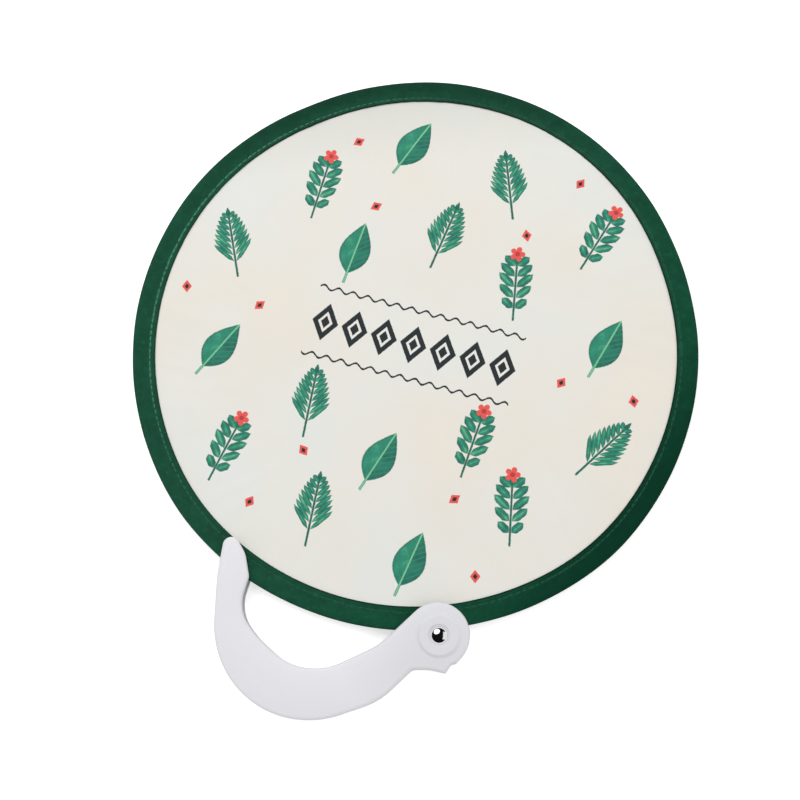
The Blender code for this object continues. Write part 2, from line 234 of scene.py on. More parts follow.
def makeSkinGroup():
    # A moulded surface: fine grain, and long soft sink marks that change its gloss.
    tree, (vector, grain), result = newGroup("mouldedSkin", "Vector Grain", "Height Gloss")
    plug(noiseValue(vector, 1.0 / grain, 2.0, 0.6), result["Height"])
    sinks = noiseValue(vector, 60.0, 1.0)
    scuffs = noiseValue(vector, 900.0, 3.0, 0.7)
    plug(ramp(scuffs, 0.56, 0.72) * 0.6 + sinks * 0.5, result["Gloss"])
    return tree


plainWeave = makeWeaveGroup()
mouldedSkin = makeSkinGroup()
print("surface groups made")


# Print on the cloth. Its motifs are drawn in units of half their own length.

printing = {
    "turn": -20.5,  # degrees, the print's own up against the disc's
    "deepLeaf": srgb(8, 92, 80),
    "midLeaf": srgb(34, 142, 112),
    "paleLeaf": srgb(138, 206, 156),
    "coral": srgb(230, 84, 76),
    "darkCoral": srgb(188, 50, 60),
    "charcoal": srgb(26, 38, 42),
    "ringNames": ("Radius", "Count", "Start", "Stagger", "Swing", "Seed"),
    "outerRing": (0.0865, 12.0, 0.5, 0.0045, 1.3, 3.1),
    "innerRing": (0.0500, 8.0, 0.0, 0.0, 0.7, 7.7),
    "outerBuds": (0.0985, 6.0, 0.0, 0.0030, 2.0, 5.3),
    "middleBuds": (0.0665, 6.0, 0.0, 0.0020, 2.0, 1.9),
    "leftOut": 4.0,  # on the inner ring, where the middle row ends
    "leafLength": 0.0245,
    "sprigLength": 0.0262,
    "frondLength": 0.0275,
    "budSize": 0.0046,
    "blossomSize": 0.0070,
    "blossomReach": 0.58,  # of the sprig's length, from its middle to the blossom
    "lozenge": (0.0118, 0.0172),
    "lozengeSpacing": 0.0130,
    "lozengeCount": 7,
    "window": 0.56,  # how far in the white ring of a lozenge lies
    "waveOffset": 0.0150,
    "waveLength": 0.0910,
    "wavePitch": 0.0065,
    "waveSwing": 0.0009,
    "waveWidth": 0.0009,
    "edgeBlur": 0.0001,
    "bleedScale": 1400.0,
    "bleed": 0.0004,  # how far the ink creeps along the threads, in all
    "backStrength": 0.45,  # how much of the ink shows through on the back
}
leafShape = {
    "width": 0.54,
    "taper": 0.35,
    "stalkMiddle": 1.15,
    "stalkReach": (0.22, 0.20),
    "stalkWidth": (0.055, 0.035),
    "veinSlant": 0.9,
    "veinPitch": 0.22,
}
branches = {
    "pairedSprig": {"slant": 42, "pitch": 0.36, "width": 0.185, "reach": (0.36, 0.0, -0.20), "span": (-0.80, 0.80)},
    "featherFrond": {"slant": 50, "pitch": 0.21, "width": 0.105, "reach": (0.36, -0.20, -0.08), "span": (-0.78, 0.90)},
}
branchShape = {
    "leafletStart": 0.04,
    "shortest": 0.05,
    "tipReach": 0.24,
    "tipWidth": 0.8,
    "stemMiddle": 0.15,
    "stemReach": (0.98, 0.95),
    "stemWidth": (0.045, 0.025),
}


def makeRingGroup():
    # Places on a ring: the nearest place's own coordinates and its number.
    tree, (vector, radius, count, start, stagger, swing, seed), result = newGroup(
        "ringPlaces", "Vector Radius Count Start Stagger Swing Seed", "Place Index"
    )
    x, y = splitVector(vector)[:2]
    index = round(arcTangent(y, x) / tau * count - start) % count
    angle = (index + start) / count * tau
    reach = radius + (index % 2.0 * 2.0 - 1.0) * stagger
    spot = joinVector(x - reach * cosine(angle), y - reach * sine(angle))
    dice = Wire(addNode(tree, "TexWhiteNoise", {"W": index + seed}, noise_dimensions="1D").outputs["Value"])
    turned = addNode(tree, "VectorRotate", {"Vector": spot, "Angle": (dice - 0.5) * swing}, rotation_type="Z_AXIS")
    plug(Wire(turned.outputs[0]), result["Place"])
    plug(index, result["Index"])
    return tree


def halfLengths(vector, length):
    x, y = splitVector(vector)[:2]
    half = length / 2.0
    return x / half, y / half


def makeLeafGroup():
    # A plain pointed leaf on a short stalk, with a midrib and slanting veins.
    tree, (vector, length), result = newGroup("simpleLeaf", "Vector Length", "Mask Tone")
    u, v = halfLengths(vector, length)
    side = abs(u)
    body = (1.0 - v * v) * larger(1.0 - v * leafShape["taper"], 0.0)
    inside = body - side / leafShape["width"]
    stalk = ramp(side, *leafShape["stalkWidth"]) * ramp(abs(v + leafShape["stalkMiddle"]), *leafShape["stalkReach"])
    plug(larger(ramp(inside, 0.0, 0.05), stalk), result["Mask"])
    slanted = fraction((v - side * leafShape["veinSlant"]) / leafShape["veinPitch"])
    veins = ramp(abs(slanted - 0.5), 0.06, 0.13, 0.55, 0.0)
    lines = larger(veins, ramp(side, 0.02, 0.05, 1.0, 0.0))
    lit = ramp(u, -0.05, 0.05, 0.34, 0.10)
    wash = noiseValue(joinVector(u, v), 1.9, 3.0, 0.6)
    tone = (lit + wash * 0.9 - 0.38) * ramp(inside, 0.02, 0.22, 0.35, 1.0)
    plug(larger(tone, lines * 0.75), result["Tone"])
    return tree


def makeBranchGroup(name, look):
    # Paired leaflets that slant up from a straight stem, with one at its tip.
    tree, (vector, length), result = newGroup(name, "Vector Length", "Mask Tone")
    slant = radians(look["slant"])
    step = look["pitch"] * cos(slant)
    plainU, v = halfLengths(vector, length)
    u = abs(plainU)
    across = v * cos(slant) - u * sin(slant)
    pair = round(across / step)
    foot = pair * look["pitch"]
    offLine = abs(across - pair * step)
    onLine = towards(u, v, slant) - foot * sin(slant)
    base, tilt, curve = look["reach"]  # half a leaflet's length, by where its foot is
    reach = larger(foot * foot * curve + foot * tilt + base, branchShape["shortest"])
    place = (onLine - branchShape["leafletStart"] - reach) / reach
    leaflet = 1.0 - place * place - offLine / look["width"]
    low, high = look["span"]
    present = abs(foot - (low + high) / 2) < (high - low) / 2
    leafletMask = ramp(leaflet, 0.0, 0.18) * present
    tipPlace = (v - 1.0) / branchShape["tipReach"]
    tip = 1.0 - tipPlace * tipPlace - u / (branchShape["tipWidth"] * look["width"])
    stem = ramp(u, *branchShape["stemWidth"]) * ramp(abs(v + branchShape["stemMiddle"]), *branchShape["stemReach"])
    leaves = larger(leafletMask, ramp(tip, 0.0, 0.15))
    plug(larger(leaves, stem), result["Mask"])
    wash = noiseValue(joinVector(plainU, v), 2.1, 3.0, 0.6)
    tone = (wash * 1.25 - 0.38) * ramp(leaflet, 0.05, 0.45, 0.40, 1.0)
    streak = ramp(offLine, 0.0, 0.4 * look["width"], 0.30, 0.0)
    plug(tone + streak * leafletMask, result["Tone"])
    return tree


def makeBlossomGroup():
    tree, (vector, size), result = newGroup("fivePetals", "Vector Size", "Mask Heart")
    u, v = halfLengths(vector, size)
    distance = squareRoot(u * u + v * v)
    petal = abs(cosine(arcTangent(v, u) * 2.5))
    edge = petal ** 0.6 * 0.50 + 0.50
    plug(ramp(edge - distance, 0.0, 0.10), result["Mask"])
    plug(ramp(distance, 0.34, 0.24), result["Heart"])
    return tree


def makeLozengeGroup():
    tree, (vector, width, height), result = newGroup("lozenge", "Vector Width Height", "Inside")
    x, y = splitVector(vector)[:2]
    plug(1.0 - (abs(x) / width + abs(y) / height) * 2.0, result["Inside"])
    return tree


clothLook = {
    "white": srgb(229, 227, 220),
    "cool": srgb(227, 228, 223),
    "warm": srgb(231, 225, 214),
    "dimmed": srgb(210, 211, 204),  # a soft shade by the tape at the top
    "dimFrom": (0.082, 0.113),
    "pitch": 0.00032,
}


def makePrintedCloth():
    ringPlaces, simpleLeaf = makeRingGroup(), makeLeafGroup()
    pairedSprig, featherFrond = (makeBranchGroup(name, look) for name, look in branches.items())
    fivePetals, lozenge = makeBlossomGroup(), makeLozengeGroup()
    sheen = {"Sheen Weight": 0.08, "Sheen Roughness": 0.4}
    made, tree, surface = newMaterial("printedCloth", clothLook["white"], 0.72, sheen)
    place = coordinates(tree)
    turn = (0, 0, radians(printing["turn"]))
    centring = {"Vector": place, "Location": discCentre, "Rotation": turn}
    centred = Wire(addNode(tree, "Mapping", centring, vector_type="TEXTURE").outputs[0])
    creep = addNode(tree, "TexNoise", {"Vector": centred, "Scale": printing["bleedScale"]}).outputs["Color"]
    plain, drift = splitVector(centred), splitVector(Wire(creep))
    flatX, flatY = (plain[i] + (drift[i] - 0.5) * printing["bleed"] for i in (0, 1))
    flat = joinVector(flatX, flatY)
    facing = splitVector(coordinates(tree, "Normal"))[2]
    strength = ramp(facing, -0.2, 0.2, printing["backStrength"], 1.0)

    def nearestOn(ring):
        return useGroup(ringPlaces, Vector=flat, **dict(zip(printing["ringNames"], printing[ring])))

    def inked(mask, under, ink):
        return mixColours(mask * strength, under, ink)

    patches = ramp(noiseValue(place, 16.0, 3.0), 0.35, 0.65)
    upward = splitVector(place)[1] - discCentre.y
    colour = mixColours(patches, clothLook["cool"], clothLook["warm"])
    colour = mixColours(ramp(upward, *clothLook["dimFrom"], 0.0, 0.7), colour, clothLook["dimmed"])
    for ring in ("outerRing", "innerRing"):
        spot = nearestOn(ring)
        kind = spot["Index"] % 3.0
        shown = signOf(spot["Index"] % printing["leftOut"]) if ring == "innerRing" else 1.0
        mask, tone = 0.0, 0.0
        motifs = ((simpleLeaf, "leafLength"), (pairedSprig, "sprigLength"), (featherFrond, "frondLength"))
        for number, (motif, length) in enumerate(motifs):
            drawn = useGroup(motif, Vector=spot["Place"], Length=printing[length])
            chosen = matches(kind, float(number), 0.1) * shown
            mask = drawn["Mask"] * chosen + mask
            tone = drawn["Tone"] * chosen + tone
        green = mixColours(ramp(tone, 0.0, 0.45), printing["deepLeaf"], printing["midLeaf"])
        green = mixColours(ramp(tone, 0.45, 0.85), green, printing["paleLeaf"])
        colour = inked(mask, colour, green)
        toTip = {"Vector": spot["Place"], "Location": (0, -printing["blossomReach"] * printing["sprigLength"], 0)}
        tip = Wire(addNode(tree, "Mapping", toTip).outputs[0])
        blossom = useGroup(fivePetals, Vector=tip, Size=printing["blossomSize"])
        pink = mixColours(blossom["Heart"], printing["coral"], printing["darkCoral"])
        colour = inked(blossom["Mask"] * matches(kind, 1.0, 0.1) * shown, colour, pink)
    for ring in ("outerBuds", "middleBuds"):
        spot = nearestOn(ring)
        size = printing["budSize"]
        bud = useGroup(lozenge, Vector=spot["Place"], Width=size, Height=1.3 * size)
        colour = inked(ramp(bud["Inside"], 0.0, 0.12), colour, printing["coral"])
        colour = inked(ramp(bud["Inside"], 0.52, 0.64), colour, printing["charcoal"])

    spacing = printing["lozengeSpacing"]
    width, height = printing["lozenge"]
    cellX = flatX - round(flatX / spacing) * spacing
    row = useGroup(lozenge, Vector=joinVector(cellX, flatY), Width=width, Height=height)
    within = abs(flatX) < printing["lozengeCount"] / 2 * spacing
    window = ramp(abs(row["Inside"] - printing["window"]), 0.09, 0.12)
    lozenges = ramp(row["Inside"], 0.0, 0.05) * window * within
    wave = sine(flatX * (tau / printing["wavePitch"])) * printing["waveSwing"] + printing["waveOffset"]
    half, blur = printing["waveWidth"] / 2, printing["edgeBlur"]
    line = ramp(abs(abs(flatY) - wave), half + blur, half - blur) * (abs(flatX) < printing["waveLength"] / 2)
    colour = inked(larger(lozenges, line), colour, printing["charcoal"])

    weave = useGroup(plainWeave, Vector=place, Pitch=clothLook["pitch"])["Height"]
    plug(colour, surface["Base Color"])
    plug(ramp(weave, 0.0, 1.0, 0.80, 0.62), surface["Roughness"])
    bump(surface, weave, 0.00004, 0.6)
    return made


# Fabric, plastic and metal

tapeLook = {
    "green": srgb(13, 77, 54),
    "deep": srgb(9, 68, 46),
    "worn": srgb(27, 97, 73),
    "patchScale": 150.0,
    "wornScale": 420.0,
    "shaded": srgb(1, 47, 31),
    "shadedFrom": (0.086, 0.114),  # towards the lower right
    "dimTop": (0.080, 0.110),  # the bead turns away from the viewer at the top
    "bead": (0.004, 0.008),  # where the bead rises, from the hem's edge
    "ridgeHighlight": srgb(66, 128, 100),  # painted highlight on the ridge that the seam pulls up, strongest where the light comes from
    "puckerWidth": (0.00025, 0.00075),
    "puckerScale": 650.0,
    "litSide": (0.085, 0.114),
    "litDirection": radians(150),
    "edge": srgb(5, 32, 22),  # painted shade along the tape's inner edge, darkest on the right
    "edgeWidth": (0.0004, 0.0009),
    "edgeShadeSide": (-0.075, -0.045),
    "ribs": 1500.0,  # ribs round the rim
    "ribPitch": 0.0005,
}


def makeTapeMaterial():
    look = tapeLook
    gloss = {"Specular IOR Level": 0.16, "Sheen Weight": 0.02, "Sheen Roughness": 0.4}
    made, tree, surface = newMaterial("bindingTape", look["green"], 0.8, gloss)
    place = coordinates(tree)
    x, y = splitVector(place)[:2]
    fromX, fromY = x - discCentre.x, y - discCentre.y
    across = attribute(tree, "across")
    ribs = sine(arcTangent(fromY, fromX) * (look["ribs"] / 2))
    weave = ribs * sine(across * (tau / look["ribPitch"])) * 0.5 + 0.5
    patches = noiseValue(place, look["patchScale"], 4.0, 0.7)
    green = mixColours(ramp(patches, 0.38, 0.62), look["deep"], look["green"])
    rubbed = noiseValue(place, look["wornScale"], 3.0, 0.7)
    green = mixColours(ramp(rubbed, 0.55, 0.80, 0.0, 0.6), green, look["worn"])
    shadedSide = towards(fromX, fromY, radians(-45))
    green = mixColours(ramp(shadedSide, *look["shadedFrom"], 0.0, 0.8), green, look["shaded"])
    plug(ramp(shadedSide, 0.0, look["shadedFrom"][1], 0.16, 0.06), surface["Specular IOR Level"])
    dim = ramp(fromY, *look["dimTop"]) * ramp(across, *look["bead"], 0.15, 0.55)
    green = mixColours(dim, green, look["shaded"])
    # Painted highlight along the seam's ridge, strongest on the side the light comes from.
    puckerHighlight = ramp(abs(attribute(tree, "fromSeam")), *look["puckerWidth"], 0.8, 0.0)
    puckerHighlight *= ramp(noiseValue(place, look["puckerScale"], 2.0, 0.6), 0.38, 0.62)
    puckerHighlight *= ramp(towards(fromX, fromY, look["litDirection"]), *look["litSide"], 0.22, 1.0)
    green = mixColours(puckerHighlight, green, look["ridgeHighlight"])
    # Painted shade: a dark line along the tape's inner edge, darker on the right than on the left.
    edgeShade = ramp(across, *look["edgeWidth"], ramp(fromX, *look["edgeShadeSide"], 0.35, 0.9), 0.0)
    green = mixColours(edgeShade, green, look["edge"])
    plug(green, surface["Base Color"])
    plug(ramp(weave, 0.0, 1.0, 0.78, 0.60), surface["Roughness"])
    bump(surface, weave, 0.00006, 0.7)
    return made


threadLook = {
    "light": srgb(80, 146, 118),
    "dark": srgb(38, 96, 72),
    "far": srgb(24, 80, 56),
    "litSide": (0.040, 0.112),
}


def makeThreadMaterial():
    # The thread is paler in some stretches of the seam than in others, and has painted shade away from the side the
    # light comes from.
    made, tree, surface = newMaterial("seamThread", threadLook["light"], 0.6, {"Specular IOR Level": 0.3})
    place = coordinates(tree)
    shade = noiseValue(place, 700.0, 2.0) + noiseValue(place, 11.0, 1.0)
    green = mixColours(ramp(shade, 0.7, 1.3), threadLook["dark"], threadLook["light"])
    # Painted shade: the thread is darker away from the side the light comes from.
    x, y = splitVector(place)[:2]
    side = towards(x, y, tapeLook["litDirection"])
    green = mixColours(ramp(side, *threadLook["litSide"]), threadLook["far"], green)
    plug(green, surface["Base Color"])
    return made


def makePlasticMaterial(name, colour, shaded, roughness, rivetShade=None):
    # Painted shade: the handle is greyer round its rivet, standing in for the darker look where more plastic lies
    # behind the face.
    made, tree, surface = newMaterial(name, colour, roughness)
    place = coordinates(tree)
    skin = useGroup(mouldedSkin, Vector=place, Grain=0.0004)
    tint = mixColours(ramp(skin["Gloss"], 0.1, 0.6), colour, shaded)
    if rivetShade:
        x, y = splitVector(place)[:2]
        fromX, fromY = x - rivetAxis.x, y - rivetAxis.y
        tint = mixColours(ramp(squareRoot(fromX * fromX + fromY * fromY), 0.008, 0.042), rivetShade, tint)
    plug(tint, surface["Base Color"])
    plug(ramp(skin["Gloss"], 0.0, 1.0, roughness - 0.06, roughness + 0.14), surface["Roughness"])
    bump(surface, skin["Height"], 0.00002, 0.35)
    return made


def makeMetalMaterial(name, colour, roughness, worn):
    made, tree, surface = newMaterial(name, colour, roughness, {"Metallic": 1.0})
    skin = useGroup(mouldedSkin, Vector=coordinates(tree), Grain=0.0006)
    plug(ramp(skin["Gloss"], 0.0, 1.0, roughness, worn), surface["Roughness"])
    return made


printedCloth = makePrintedCloth()
bindingTape = makeTapeMaterial()
seamThread = makeThreadMaterial()
handlePlastic = makePlasticMaterial(
    "handlePlastic", srgb(230, 230, 234), srgb(226, 226, 231), 0.40, rivetShade=srgb(221, 221, 225)
)
hubPlastic = makePlasticMaterial("hubPlastic", srgb(214, 214, 217), srgb(206, 206, 210), 0.50)
washerPlastic = makePlasticMaterial("washerPlastic", srgb(206, 209, 211), srgb(196, 200, 203), 0.30)
polishedChrome = makeMetalMaterial("polishedChrome", srgb(232, 233, 235), 0.05, 0.16)
rolledSteel = makeMetalMaterial("rolledSteel", srgb(128, 130, 133), 0.32, 0.55)
print("materials made")


# Mesh helpers

sharpAngle = radians(40)


def weld(shape, distance=1e-6):
    bmesh.ops.remove_doubles(shape, verts=shape.verts, dist=distance)


def outward(shape):
    bmesh.ops.recalc_face_normals(shape, faces=shape.faces)
    return shape


def quarterTurn(steps):
    return [pi / 2 * i / steps for i in range(steps + 1)]


def spun(profile, segments, layer=None):
    # A profile of (radius, height) turned about Z. A layer keeps the way along the profile on each vertex.
    shape = bmesh.new()
    kept = shape.verts.layers.float.new(layer) if layer else None
    points, travelled = [], 0.0
    for i, (radius, height) in enumerate(profile):
        if i:
            travelled += dist(profile[i - 1], (radius, height))
        points.append(shape.verts.new((radius, 0.0, height)))
        if layer:
            points[-1][kept] = travelled
    lines = [shape.edges.new(pair) for pair in zip(points, points[1:])]
    bmesh.ops.spin(
        shape, geom=points + lines, cent=(0, 0, 0), axis=(0, 0, 1), dvec=(0, 0, 0),
        angle=tau, steps=segments, use_merge=True, use_duplicate=False,
    )
    weld(shape)
    return shape


def addPiece(name, shape, material, place=(0, 0, 0)):
    if place != (0, 0, 0):
        bmesh.ops.translate(shape, verts=shape.verts, vec=place)
    mesh = bpy.data.meshes.new(name)
    shape.to_mesh(mesh)
    shape.free()
    piece = addObject(name, mesh)
    if material:
        mesh.materials.append(material)
    mesh.shade_smooth()
    return piece


def applyModifiers(piece):
    bpy.context.view_layer.update()
    made = bpy.data.meshes.new_from_object(piece.evaluated_get(bpy.context.evaluated_depsgraph_get()))
    made.name = piece.name
    piece.modifiers.clear()
    piece.data = made


def polar(radius, turn):
    return radius * cos(turn), radius * sin(turn)


def ringNoise(turn, cells, seed):
    return noise.noise(Vector((*polar(cells, turn), seed)))


def smooth(value, low, high):
    share = min(1.0, max(0.0, (value - low) / (high - low)))
    return share * share * (3 - 2 * share)


# Rim: the tape that binds the cloth's edge and the hoop

rim = {
    "innerRadius": 0.1107,
    "edgeShift": (0.00038, 0.00030),  # the tape is narrower at the top right
    "thickness": 0.0003,
    "hemHeight": 0.00052,
    "hemEdge": 0.55,  # of the hem's height, at its very edge
    "hemRound": 0.00012,
    "beadHeight": 0.00168,
    "swell": (0.30, 0.86),  # of the tape's width, where the hem rises to the bead's height
    "seamInset": 0.0021,
    "seamWander": 0.0005,
    "seamDip": 0.00012,
    "seamSpread": 0.0007,
    "segments": 720,
    "gather": 0.00020,
    "gatherCells": 30.0,
    "crease": 0.00042,
    "creaseCells": 21.0,
    "creaseFrom": 0.55,  # how much of the noise stays flat between the creases
    "creaseLean": 0.105,
    "crinkle": 0.00009,
    "crinkleCells": 95.0,
    "creasePlaces": ((8, 0.30, 1.0), (-118, 0.16, 0.7), (62, 0.25, 0.45)),  # place in degrees, spread, strength
    "outOfRound": 0.00022,
    "bends": (  # where the hoop bows in or out: place and spread in degrees, distance
        (107, 19, -0.00115), (10, 16, -0.00090), (-53, 20, 0.00110), (55, 14, 0.00050), (-148, 14, 0.00060),
    ),
}


def nearness(turn, place, spread):
    # One at a place in degrees, and less round it.
    off = (turn - radians(place) + pi) % tau - pi
    return exp(-(off / spread) ** 2)


def bow(turn):
    return sum(distance * nearness(turn, place, radians(spread)) for place, spread, distance in rim["bends"])


def gathers(turn):
    # The little ups and downs that the seam draws into the tape and cloth together.
    wave = ringNoise(turn, rim["gatherCells"], 2.3) + 0.5 * ringNoise(turn, 2.3 * rim["gatherCells"], 8.1)
    return rim["gather"] * wave


def creases(turn, share):
    # Slanting creases over short stretches of the rim, where share runs from the hem to the outer edge.
    total = 0.0
    for place, spread, strength in rim["creasePlaces"]:
        window = nearness(turn, place, spread)
        if window > 0.01:
            ridge = 1 - 2 * abs(ringNoise(turn + rim["creaseLean"] * share, rim["creaseCells"], 5.5))
            total += strength * window * max(0.0, ridge - rim["creaseFrom"]) / (1 - rim["creaseFrom"])
    cells = rim["crinkleCells"]
    fine = ringNoise(turn + 0.05 * share, cells, 4.2) + 0.6 * ringNoise(turn - 0.04 * share, 2 * cells, 9.4)
    fade = sin(pi * min(1.0, max(0.0, share)))
    return (rim["crease"] * total + rim["crinkle"] * fine) * fade


def hemRadius(turn):
    shiftX, shiftY = rim["edgeShift"]
    return rim["innerRadius"] + shiftX * cos(turn) + shiftY * sin(turn) + bow(turn)


def seamRadius(turn):
    return hemRadius(turn) + rim["seamInset"] + rim["seamWander"] * sin(turn - radians(150))


def tapeHeight(share):
    # The tape's top face above the middle: a flat hem that swells into the bead over the hoop.
    return rim["hemHeight"] + (rim["beadHeight"] - rim["hemHeight"]) * smooth(share, *rim["swell"])


def makeTape():
    start, flat, bead = rim["innerRadius"], 18, 8
    profile = [(start, rim["hemHeight"] * rim["hemEdge"])]
    inner = start + rim["hemRound"]
    for i in range(flat + 1):
        share = rim["swell"][1] * i / flat
        profile.append((inner + (discRadius - inner) * share, tapeHeight(share)))
    edge, height = profile[-1]
    for angle in quarterTurn(bead)[1:-1]:  # boxier than an arc, as the tape lies tight on the flat hoop
        profile.append((edge + (discRadius - edge) * sin(angle) ** 0.5, height * cos(angle) ** 0.5))
    profile.append((discRadius, 0.0))
    profile += [(radius, -height) for radius, height in reversed(profile[:-1])]
    shape = spun(profile, rim["segments"], "across")
    fromSeam = shape.verts.layers.float.new("fromSeam")
    across = shape.verts.layers.float["across"]
    whole = max(vert[across] for vert in shape.verts)
    for vert in shape.verts:
        radius = hypot(vert.co.x, vert.co.y)
        turn = atan2(vert.co.y, vert.co.x)
        share = (radius - start) / (discRadius - start)
        side = copysign(1.0, vert.co.z)
        hem = hemRadius(turn)
        radius = hem + (discRadius + bow(turn) - hem) * share
        radius += rim["outOfRound"] * ringNoise(turn, 5.0, 1.7) * smooth(share, 0.5, 1.0)
        vert[fromSeam] = radius - seamRadius(turn)
        height = vert.co.z + gathers(turn) * (1 - smooth(share, 0.35, 0.8))
        height += side * creases(turn, share if side > 0 else share * 0.9)
        dip = exp(-((radius - seamRadius(turn)) / rim["seamSpread"]) ** 2)
        height -= side * rim["seamDip"] * dip
        vert.co = (*polar(radius, turn), height)
        vert[across] = min(vert[across], whole - vert[across])
    tape = addPiece("rimTape", outward(shape), bindingTape, discCentre)
    fold = tape.modifiers.new("thickness", "SOLIDIFY")
    fold.thickness = rim["thickness"]
    fold.offset = -1.0
    applyModifiers(tape)
    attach(tape, "fan_disc")
    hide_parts("rim_binding")


stitching = {
    "pitch": 0.0027,
    "length": 0.0023,
    "width": 0.00060,
    "height": 0.00028,
    "raised": 0.15,  # of its height, a stitch's middle above the tape
    "lean": 0.07,  # how far single stitches turn from the seam's line
    "leanCells": 90.0,
}


def makeStitches(name, node, side):
    # One stitch, copied round the rim, and each copy then set down on the tape.
    start = rim["innerRadius"]
    count = round(tau * (start + rim["seamInset"]) / stitching["pitch"])
    step = tau / count
    shape = bmesh.new()
    size = Matrix.Diagonal((stitching["width"], stitching["length"], stitching["height"], 1.0))
    bmesh.ops.create_uvsphere(
        shape, u_segments=8, v_segments=5, radius=0.5, matrix=Matrix.Translation((start, 0, 0)) @ size
    )
    bmesh.ops.spin(
        shape, geom=shape.verts[:] + shape.edges[:] + shape.faces[:], cent=(0, 0, 0), axis=(0, 0, 1),
        dvec=(0, 0, 0), angle=tau - step, steps=count - 1, use_merge=False, use_duplicate=True,
    )
    for vert in shape.verts:
        turn = round(atan2(vert.co.y, vert.co.x) / step) * step
        out, along = Vector((cos(turn), sin(turn))), Vector((-sin(turn), cos(turn)))
        acrossSeam, alongSeam = vert.co.xy.dot(out) - start, vert.co.xy.dot(along)
        radius = seamRadius(turn)
        share = (radius - hemRadius(turn)) / (discRadius - start)
        lean = stitching["lean"] * ringNoise(turn, stitching["leanCells"], 3.9 * side)
        acrossSeam += radius + alongSeam * lean
        surface = side * (tapeHeight(share) - rim["seamDip"] + stitching["height"] * stitching["raised"])
        spot = out * acrossSeam + along * alongSeam
        vert.co = (spot.x, spot.y, vert.co.z + surface + gathers(turn))
    stitches = addPiece(name, shape, seamThread, discCentre)
    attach(stitches, "fan_disc")
    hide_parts(node)


# Cloth

cloth = {
    "radius": (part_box("fan_sheet")[1].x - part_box("fan_sheet")[0].x) / 2,
    "thickness": 0.00015,
    "rings": 84,
    "segments": 360,
    "sag": 0.0006,
    "ripple": 0.00060,
    "ripplePitch": 0.040,
    "pull": 0.00035,
    "pullCells": (9.0, 26.0),
}


def clothHeight(x, y):
    radius = hypot(x, y)
    turn = atan2(y, x)
    share = radius / cloth["radius"]
    inner = 1 - smooth(share, 0.80, 0.97)
    height = -cloth["sag"] * (1 - share * share)
    height += cloth["ripple"] * inner * noise.noise(Vector((x, y, 0.4)) / cloth["ripplePitch"])
    broad, narrow = cloth["pullCells"]
    pulls = ringNoise(turn, broad, 6.6) + 0.7 * ringNoise(turn + 0.3 * share, narrow, 1.2)
    height += cloth["pull"] * pulls * smooth(share, 0.45, 0.92) * (1 - smooth(share, 0.90, 0.98))
    return height + gathers(turn) * smooth(share, 0.86, 0.95)


def makeCloth():
    step = cloth["radius"] / cloth["rings"]
    shape = spun([(step * i, 0.0) for i in range(cloth["rings"] + 1)], cloth["segments"])
    for vert in shape.verts:
        height = clothHeight(vert.co.x, vert.co.y)
        radius, turn = vert.co.xy.length, atan2(vert.co.y, vert.co.x)
        radius += bow(turn) * smooth(radius / cloth["radius"], 0.7, 1.0)
        vert.co = (*polar(radius, turn), height)
    sheet = addPiece("fanCloth", outward(shape), printedCloth, discCentre)
    body = sheet.modifiers.new("thickness", "SOLIDIFY")
    body.thickness = cloth["thickness"]
    body.offset = 0.0
    applyModifiers(sheet)
    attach(sheet, "fan_disc")
    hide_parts("fan_sheet")


def bendHoop(name, node):
    # The steel strip and its sleeve bow in and out with the tape that holds them.
    shape = bmesh.new()
    shape.from_mesh(nodes[node].data)
    weld(shape)
    for vert in shape.verts:
        fromCentre = vert.co - discCentre
        turn = atan2(fromCentre.y, fromCentre.x)
        vert.co += Vector((*polar(bow(turn), turn), 0.0))
    strip = addPiece(name, shape, rolledSteel)
    strip.data.set_sharp_from_angle(angle=sharpAngle)
    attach(strip, "fan_disc")
    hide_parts(node)


makeCamera()
makeTape()
makeStitches("needleStitches", "seam_needle_thread", 1)
makeStitches("bobbinStitches", "seam_bobbin_thread", -1)
makeCloth()
bendHoop("springStrip", "spring_hoop")
bendHoop("stripSleeve", "hoop_ferrule")
print("disc made")


# Handle shells. The arcs run anticlockwise from the rivet's axis: centre x, centre y, radius, hollow ones negative.

